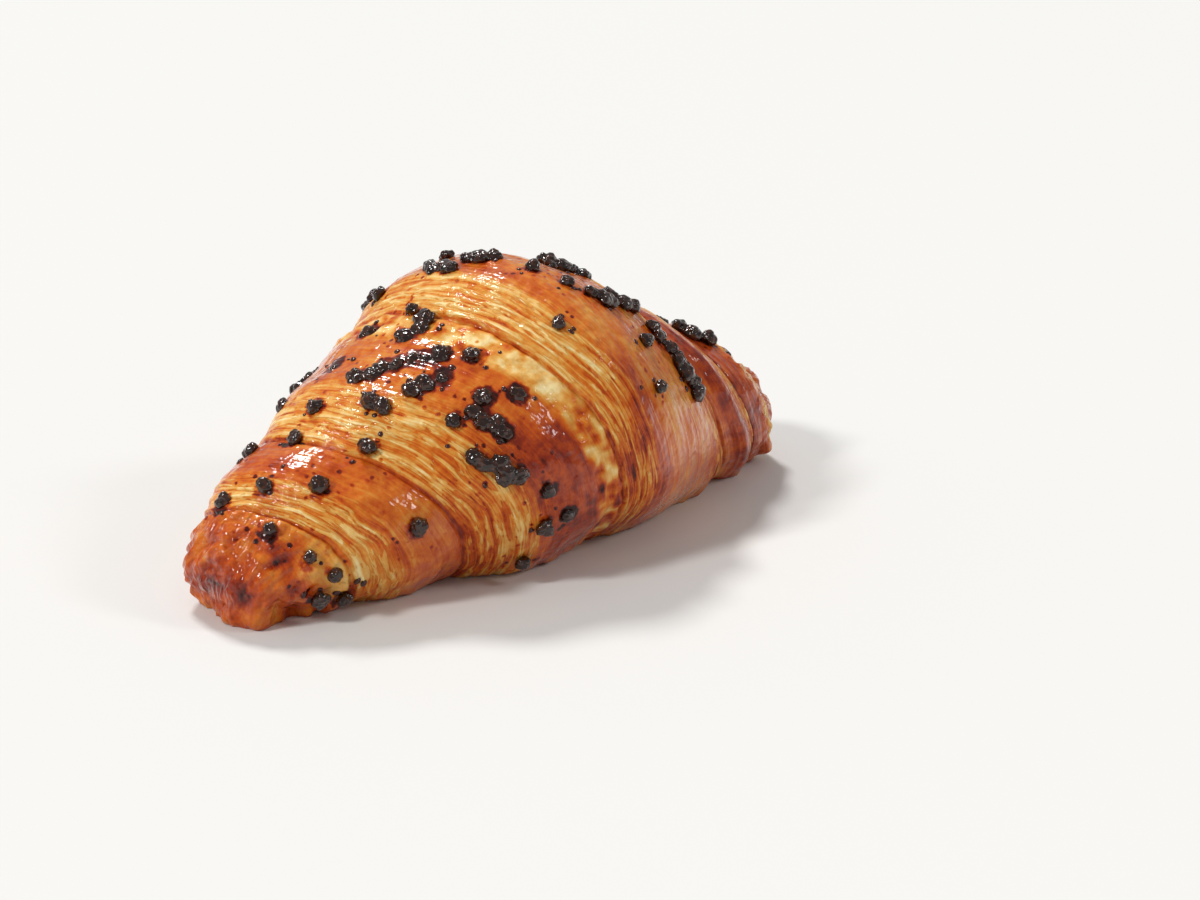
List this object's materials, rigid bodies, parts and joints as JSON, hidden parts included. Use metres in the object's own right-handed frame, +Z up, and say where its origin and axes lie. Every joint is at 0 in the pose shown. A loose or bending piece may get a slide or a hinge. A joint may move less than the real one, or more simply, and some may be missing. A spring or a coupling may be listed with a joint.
{
  "type": "chocolate croissant",
  "caption": "Whole baked chocolate croissant, a rolled spindle of laminated dough with a flat base, egg-washed wraps and dark chocolate nibs melted on its crust.",
  "frame": {"origin": "middle of the flat base, under the centre of the whole croissant's box", "axes": "+X along the roll from the tip with most nibs to the other, +Y across it, +Z up"},
  "size_m": [0.162, 0.0822, 0.0657],
  "materials": {
    "baked_crust": "egg-washed, baked golden brown and glossy on the wraps, matt and paler on their cut edges",
    "dark_chocolate": "baked dark chocolate, rough and half gloss"
  },
  "bodies": {
    "root": {"pastry": "baked_crust", "chocolate_nib_01": "dark_chocolate", "chocolate_nib_02": "dark_chocolate", "chocolate_nib_03": "dark_chocolate", "chocolate_nib_04": "dark_chocolate", "chocolate_nib_05": "dark_chocolate", "chocolate_nib_06": "dark_chocolate", "chocolate_nib_07": "dark_chocolate", "chocolate_nib_08": "dark_chocolate", "chocolate_nib_09": "dark_chocolate", "chocolate_nib_10": "dark_chocolate", "chocolate_nib_11": "dark_chocolate", "chocolate_nib_12": "dark_chocolate", "chocolate_nib_13": "dark_chocolate", "chocolate_nib_14": "dark_chocolate", "chocolate_nib_15": "dark_chocolate", "chocolate_nib_16": "dark_chocolate", "chocolate_nib_17": "dark_chocolate", "chocolate_nib_18": "dark_chocolate", "chocolate_nib_19": "dark_chocolate", "chocolate_nib_20": "dark_chocolate", "chocolate_nib_21": "dark_chocolate", "chocolate_nib_22": "dark_chocolate", "chocolate_nib_23": "dark_chocolate", "chocolate_nib_24": "dark_chocolate", "chocolate_nib_25": "dark_chocolate", "chocolate_nib_26": "dark_chocolate", "chocolate_nib_27": "dark_chocolate", "chocolate_nib_28": "dark_chocolate", "chocolate_nib_29": "dark_chocolate", "chocolate_nib_30": "dark_chocolate", "chocolate_nib_31": "dark_chocolate", "chocolate_nib_32": "dark_chocolate", "chocolate_nib_33": "dark_chocolate", "chocolate_nib_34": "dark_chocolate", "chocolate_nib_35": "dark_chocolate", "chocolate_nib_36": "dark_chocolate", "chocolate_nib_37": "dark_chocolate", "chocolate_nib_38": "dark_chocolate", "chocolate_nib_39": "dark_chocolate", "melted_nibs_01": "dark_chocolate", "melted_nibs_02": "dark_chocolate", "melted_nibs_03": "dark_chocolate", "melted_nibs_04": "dark_chocolate", "melted_nibs_05": "dark_chocolate", "melted_nibs_06": "dark_chocolate", "melted_nibs_07": "dark_chocolate", "melted_nibs_08": "dark_chocolate", "melted_nibs_09": "dark_chocolate", "melted_nibs_10": "dark_chocolate", "melted_nibs_11": "dark_chocolate", "melted_nibs_12": "dark_chocolate", "melted_nibs_13": "dark_chocolate", "melted_nibs_14": "dark_chocolate", "melted_nibs_15": "dark_chocolate", "melted_nibs_16": "dark_chocolate", "melted_nibs_17": "dark_chocolate", "melted_nibs_18": "dark_chocolate", "melted_nibs_19": "dark_chocolate", "melted_nibs_20": "dark_chocolate"}
  },
  "joints": []
}
